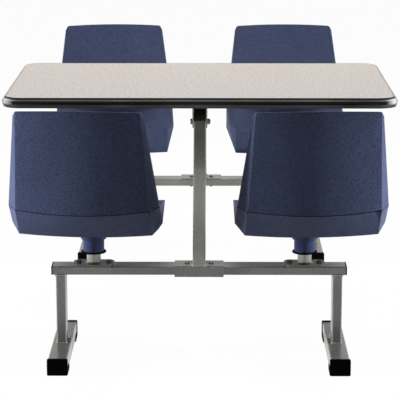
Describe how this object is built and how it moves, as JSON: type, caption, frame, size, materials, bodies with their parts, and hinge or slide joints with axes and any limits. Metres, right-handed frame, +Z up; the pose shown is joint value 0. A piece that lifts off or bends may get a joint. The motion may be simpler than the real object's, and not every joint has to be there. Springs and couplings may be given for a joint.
{
  "type": "cluster table with attached swivel seats",
  "caption": "Rectangular laminate table with a vinyl bumper edge, carried by sloping struts from two low beams that also hold moulded bucket seats on swivel posts.",
  "frame": {"origin": "on the floor under the middle of the table top", "axes": "+Z up, +X along the table top's long side, seats stand on the -Y and +Y sides and face the table"},
  "size_m": [1.219, 1.9402, 0.798],
  "materials": {
    "particle_board": "raw particle board",
    "laminate": "fine mottled beige laminate, satin",
    "backer": "plain balancing sheet",
    "bumper_vinyl": "glossy black vinyl",
    "frame_coat": "grey metallic powder coat",
    "pedestal_steel": "zinc post on a dark coated base plate",
    "hub_steel": "black coat",
    "zinc_fastener": "bright zinc",
    "pin_steel": "ground",
    "black_cap": "black moulded plastic",
    "bearing_plastic": "natural bearing plastic",
    "seat_plastic": "navy plastic with a fine leather grain",
    "sleeve_plastic": "blue plastic"
  },
  "bodies": {
    "frame": {"table_core": "particle_board", "top_laminate": "laminate", "backer_sheet": "backer", "edge_bumper": "bumper_vinyl", "top_plate": "frame_coat", "top_plate_screws": "zinc_fastener", "strut_front": "frame_coat", "strut_back": "frame_coat", "strut_bolts": "zinc_fastener", "saddle_front": "frame_coat", "saddle_back": "frame_coat", "saddle_bolts": "zinc_fastener", "beam_front": "frame_coat", "beam_back": "frame_coat", "beam_end_caps": "black_cap", "leg_front_left": "frame_coat", "foot_front_left": "frame_coat", "pedestal_front_left": "pedestal_steel", "leg_front_right": "frame_coat", "foot_front_right": "frame_coat", "pedestal_front_right": "pedestal_steel", "leg_back_left": "frame_coat", "foot_back_left": "frame_coat", "pedestal_back_left": "pedestal_steel", "leg_back_right": "frame_coat", "foot_back_right": "frame_coat", "pedestal_back_right": "pedestal_steel", "foot_caps": "black_cap", "foot_bolts": "zinc_fastener", "pedestal_bolts": "zinc_fastener", "thrust_washers": "bearing_plastic", "retaining_bolts": "zinc_fastener"},
    "seat_front_left": {"seat_shell_front_left": "seat_plastic", "swivel_hub_front_left": "hub_steel", "hub_sleeve_front_left": "sleeve_plastic", "dust_ring_front_left": "black_cap", "hub_bushes_front_left": "bearing_plastic", "stop_pin_front_left": "pin_steel", "seat_screws_front_left": "zinc_fastener"},
    "seat_front_right": {"seat_shell_front_right": "seat_plastic", "swivel_hub_front_right": "hub_steel", "hub_sleeve_front_right": "sleeve_plastic", "dust_ring_front_right": "black_cap", "hub_bushes_front_right": "bearing_plastic", "stop_pin_front_right": "pin_steel", "seat_screws_front_right": "zinc_fastener"},
    "seat_back_left": {"seat_shell_back_left": "seat_plastic", "swivel_hub_back_left": "hub_steel", "hub_sleeve_back_left": "sleeve_plastic", "dust_ring_back_left": "black_cap", "hub_bushes_back_left": "bearing_plastic", "stop_pin_back_left": "pin_steel", "seat_screws_back_left": "zinc_fastener"},
    "seat_back_right": {"seat_shell_back_right": "seat_plastic", "swivel_hub_back_right": "hub_steel", "hub_sleeve_back_right": "sleeve_plastic", "dust_ring_back_right": "black_cap", "hub_bushes_back_right": "bearing_plastic", "stop_pin_back_right": "pin_steel", "seat_screws_back_right": "zinc_fastener"}
  },
  "joints": [
    {"name": "swivel_front_left", "type": "hinge", "parent": "frame", "child": "seat_front_left", "pos_m": [-0.312, -0.627, 0.45], "axis": [0, 0, 1], "range_deg": [-21.7, 28.3]},
    {"name": "swivel_front_right", "type": "hinge", "parent": "frame", "child": "seat_front_right", "pos_m": [0.312, -0.627, 0.45], "axis": [0, 0, 1], "range_deg": [-28, 22]},
    {"name": "swivel_back_left", "type": "hinge", "parent": "frame", "child": "seat_back_left", "pos_m": [-0.312, 0.627, 0.45], "axis": [0, 0, 1], "range_deg": [-28, 22]},
    {"name": "swivel_back_right", "type": "hinge", "parent": "frame", "child": "seat_back_right", "pos_m": [0.312, 0.627, 0.45], "axis": [0, 0, 1], "range_deg": [-26.2, 23.8]}
  ]
}
